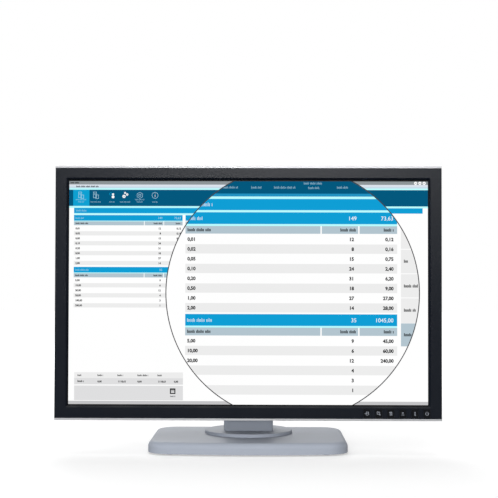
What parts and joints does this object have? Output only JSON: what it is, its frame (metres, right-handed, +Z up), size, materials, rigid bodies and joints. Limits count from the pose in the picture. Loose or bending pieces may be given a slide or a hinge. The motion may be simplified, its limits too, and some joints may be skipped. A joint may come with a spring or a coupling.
{
  "type": "desktop monitor",
  "caption": "Widescreen LCD desktop monitor on a stand that tilts, lifts and swivels, with front keys, a recessed mounting plate and downward-facing sockets.",
  "frame": {"origin": "on the table, under the middle of the base, with the head at its lowest and upright", "axes": "+Z up, +X to the viewer's right, the screen faces -Y"},
  "size_m": [0.558, 0.21, 0.4163],
  "materials": {
    "black_plastic": "fine matt texture, navy black",
    "key_plastic": "satin black",
    "silver_trim": "satin silver paint",
    "silver_plastic": "matt silver grey",
    "dark_plastic": "matt charcoal",
    "glass": "anti-glare polariser",
    "white_plastic": "white moulding",
    "nylon": "natural nylon",
    "clear_acrylic": "clear, polished edges",
    "optical_film": "satin film",
    "lamp_glass": "white coated tube",
    "galvanised_steel": "galvanised sheet",
    "bare_steel": "turned and plated",
    "spring_steel": "blued spring steel",
    "black_steel": "black powder coat",
    "cast_iron": "rough casting",
    "rubber": "soft black",
    "circuit_board": "green solder mask",
    "components": "moulded and wound parts"
  },
  "bodies": {
    "base": {"rubber_feet": "rubber", "base_plate": "galvanised_steel", "base_weight": "cast_iron", "base_cover": "silver_plastic", "swivel_glide_ring": "nylon"},
    "column": {"turntable": "galvanised_steel", "turntable_cover": "silver_plastic", "swivel_bolt": "bare_steel", "swivel_nut": "bare_steel", "column_channel": "galvanised_steel", "column_foot_screws": "bare_steel", "column_front_cover": "silver_plastic", "column_rear_cover": "dark_plastic", "spring_drum_bracket": "galvanised_steel", "spring_drum": "nylon", "lift_spring_coil": "spring_steel", "lift_spring_strip": "spring_steel", "cable_clip": "dark_plastic"},
    "lift_lock": {"lift_lock_button": "key_plastic"},
    "carriage": {"lift_slider": "galvanised_steel", "slider_glides": "nylon", "slider_cap": "dark_plastic", "tilt_arm": "black_steel", "tilt_arm_screws": "bare_steel", "tilt_axle": "bare_steel", "tilt_friction_washers": "bare_steel", "tilt_axle_nuts": "bare_steel", "tilt_spring": "spring_steel"},
    "head": {"stand_bracket": "black_steel", "mounting_plate": "galvanised_steel", "rear_cover": "black_plastic", "rear_cover_screws": "black_steel", "chassis_plate": "galvanised_steel", "power_board": "circuit_board", "power_components": "components", "signal_board": "circuit_board", "signal_components": "components", "signal_board_shield": "galvanised_steel", "power_inlet": "dark_plastic", "signal_sockets": "bare_steel", "panel_front_frame": "galvanised_steel", "panel_glass": "glass", "panel_mid_frame": "white_plastic", "optical_sheets": "optical_film", "light_guide": "clear_acrylic", "lamp_housings": "galvanised_steel", "backlight_lamps": "lamp_glass", "panel_back_pan": "galvanised_steel", "front_bezel": "black_plastic", "bezel_trims": "silver_trim", "key_board": "circuit_board"},
    "stand_release": {"stand_release_button": "key_plastic"},
    "input_key_cap": {"input_key": "key_plastic"},
    "window_key_cap": {"window_key": "key_plastic"},
    "menu_key_cap": {"menu_key": "key_plastic"},
    "down_key_cap": {"down_key": "key_plastic"},
    "up_key_cap": {"up_key": "key_plastic"},
    "power_key_cap": {"power_key": "key_plastic"}
  },
  "joints": [
    {"name": "swivel", "type": "hinge", "parent": "base", "child": "column", "pos_m": [0, 0.023, 0.02], "axis": [0, 0, 1], "range_deg": [-45, 45]},
    {"name": "lift", "type": "slide", "parent": "column", "child": "carriage", "axis": [0, 0, 1], "range_m": [0, 0.1], "deforming": ["lift_spring_strip"]},
    {"name": "tilt", "type": "hinge", "parent": "carriage", "child": "head", "pos_m": [0, -0.014, 0.2328], "axis": [-1, 0, 0], "range_deg": [-5, 21]},
    {"name": "lift_lock_press", "type": "slide", "parent": "column", "child": "lift_lock", "axis": [0, -1, 0], "range_m": [0, 0.0018], "stiffness_N_per_m": 900},
    {"name": "stand_release_press", "type": "slide", "parent": "head", "child": "stand_release", "axis": [0, 0, 1], "range_m": [0, 0.003], "stiffness_N_per_m": 600},
    {"name": "input_key_press", "type": "slide", "parent": "head", "child": "input_key_cap", "axis": [0, 1, 0], "range_m": [0, 0.0006], "stiffness_N_per_m": 2500},
    {"name": "window_key_press", "type": "slide", "parent": "head", "child": "window_key_cap", "axis": [0, 1, 0], "range_m": [0, 0.0006], "stiffness_N_per_m": 2500},
    {"name": "menu_key_press", "type": "slide", "parent": "head", "child": "menu_key_cap", "axis": [0, 1, 0], "range_m": [0, 0.0006], "stiffness_N_per_m": 2500},
    {"name": "down_key_press", "type": "slide", "parent": "head", "child": "down_key_cap", "axis": [0, 1, 0], "range_m": [0, 0.0006], "stiffness_N_per_m": 2500},
    {"name": "up_key_press", "type": "slide", "parent": "head", "child": "up_key_cap", "axis": [0, 1, 0], "range_m": [0, 0.0006], "stiffness_N_per_m": 2500},
    {"name": "power_key_press", "type": "slide", "parent": "head", "child": "power_key_cap", "axis": [0, 1, 0], "range_m": [0, 0.0006], "stiffness_N_per_m": 2500}
  ]
}
